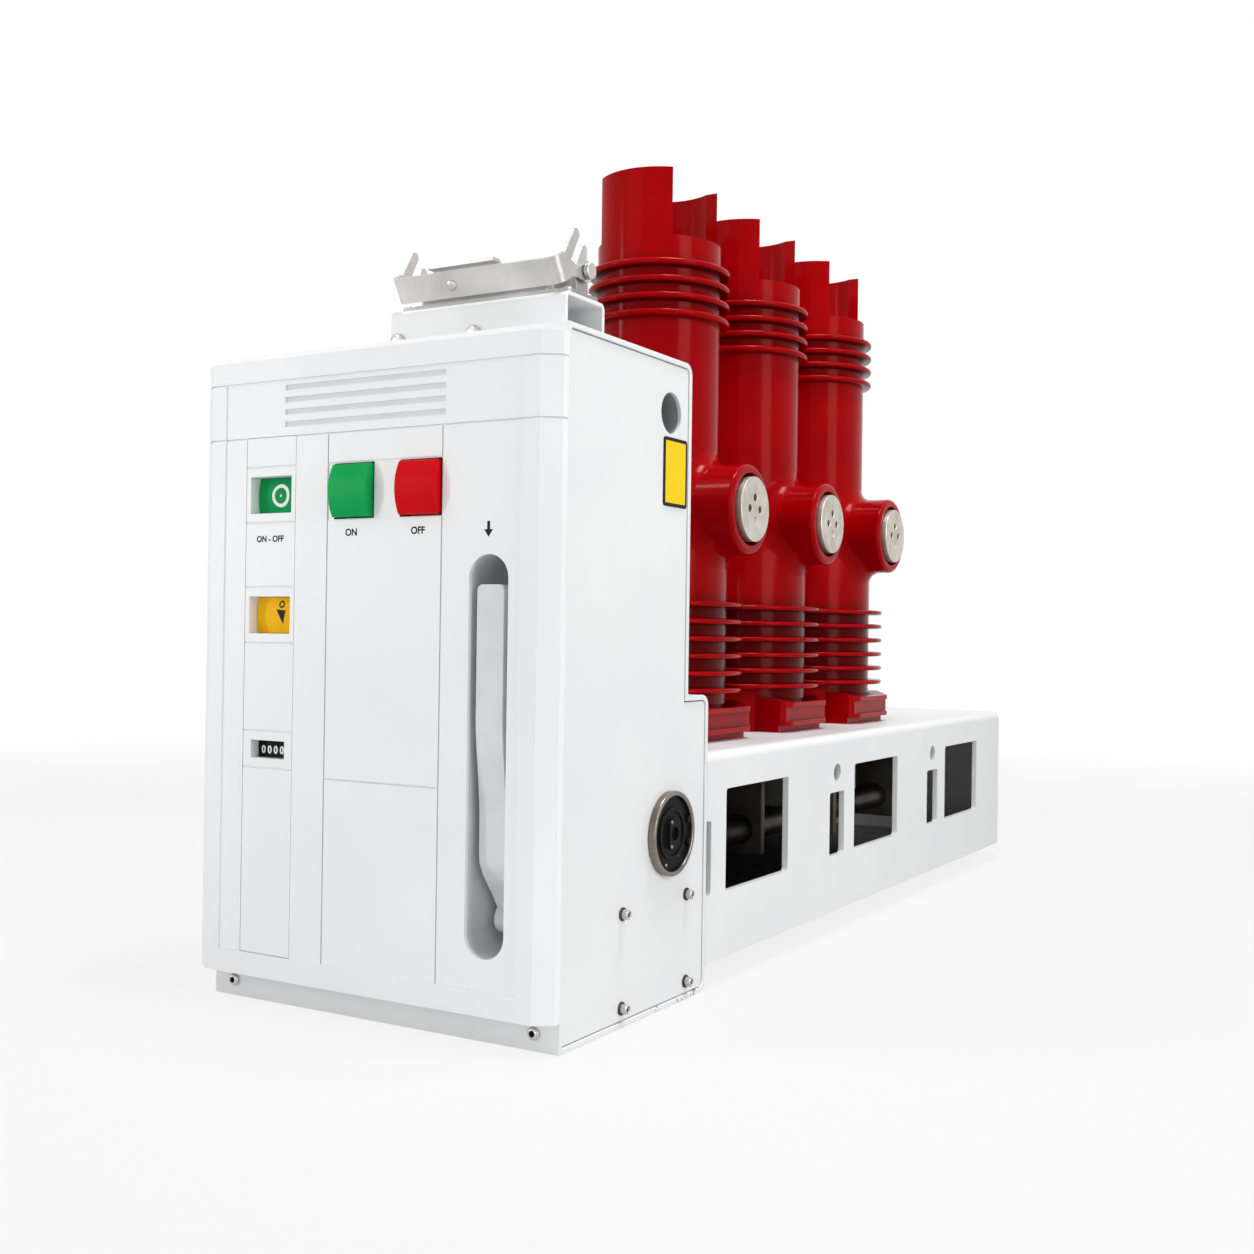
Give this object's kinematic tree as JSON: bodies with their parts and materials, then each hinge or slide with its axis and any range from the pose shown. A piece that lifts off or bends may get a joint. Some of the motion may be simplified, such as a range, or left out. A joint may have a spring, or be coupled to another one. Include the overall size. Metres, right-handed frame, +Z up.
{
  "type": "side-mounted vacuum circuit breaker",
  "caption": "Vacuum circuit breaker: white mechanism box with buttons, indicators and charging handle, and red ribbed epoxy poles on a windowed steel beam behind it.",
  "frame": {"origin": "centre of the enclosure's underside", "axes": "+X to the right across the front, +Y from the front along the pole beam, +Z up"},
  "size_m": [0.325, 1.0375, 0.677],
  "materials": {
    "white_powder_coat": "fine satin powder coat",
    "cover_plastic": "moulded satin plastic",
    "red_epoxy": "glossy cast epoxy",
    "silver_plate": "matte silver plating",
    "button_green": "satin moulded plastic",
    "button_red": "satin moulded plastic",
    "indicator_green": "printed drum",
    "indicator_yellow": "printed drum",
    "black_plastic": "moulded",
    "zinc_steel": "bright zinc plating",
    "dark_steel": "blackened",
    "yellow_zinc": "yellow zinc passivation",
    "rod_resin": "moulded insulating resin"
  },
  "bodies": {
    "frame": {"enclosure_wrap": "white_powder_coat", "front_plate": "white_powder_coat", "side_plate_right": "white_powder_coat", "side_plate_left": "white_powder_coat", "front_cover": "cover_plastic", "indicator_strip": "cover_plastic", "position_indicator": "indicator_green", "spring_indicator": "indicator_yellow", "operation_counter": "black_plastic", "handle_pocket": "cover_plastic", "handle_pin": "zinc_steel", "connector_bracket": "white_powder_coat", "connector_base": "zinc_steel", "connector_insert": "black_plastic", "bail_pins": "zinc_steel", "coupling_rim": "dark_steel", "coupling_hub": "black_plastic", "pole_beam": "white_powder_coat", "beam_end_plate": "white_powder_coat", "beam_base_plate": "white_powder_coat", "pole_1": "red_epoxy", "pole_2": "red_epoxy", "pole_3": "red_epoxy", "lower_contact_1": "silver_plate", "lower_contact_2": "silver_plate", "lower_contact_3": "silver_plate", "upper_contact_1": "silver_plate", "upper_contact_2": "silver_plate", "upper_contact_3": "silver_plate", "drive_shaft": "dark_steel", "shaft_hangers": "yellow_zinc", "pull_rod_1": "rod_resin", "pull_rod_2": "rod_resin", "pull_rod_3": "rod_resin"},
    "close_button": {"close_button": "button_green"},
    "trip_button": {"trip_button": "button_red"},
    "charging_handle": {"charging_handle": "cover_plastic"},
    "connector_bail": {"connector_bail": "zinc_steel"}
  },
  "joints": [
    {"name": "close_press", "type": "slide", "parent": "frame", "child": "close_button", "axis": [0, 1, 0], "range_m": [0, 0.005], "stiffness_N_per_m": 400},
    {"name": "trip_press", "type": "slide", "parent": "frame", "child": "trip_button", "axis": [0, 1, 0], "range_m": [0, 0.005], "stiffness_N_per_m": 400},
    {"name": "handle_pull", "type": "hinge", "parent": "frame", "child": "charging_handle", "pos_m": [0.1035, -0.081, 0.08], "axis": [1, 0, 0], "range_deg": [0, 60]},
    {"name": "bail_lift", "type": "hinge", "parent": "frame", "child": "connector_bail", "pos_m": [0.048, -0.028, 0.534], "axis": [-1, 0, 0], "range_deg": [0, 85]}
  ]
}
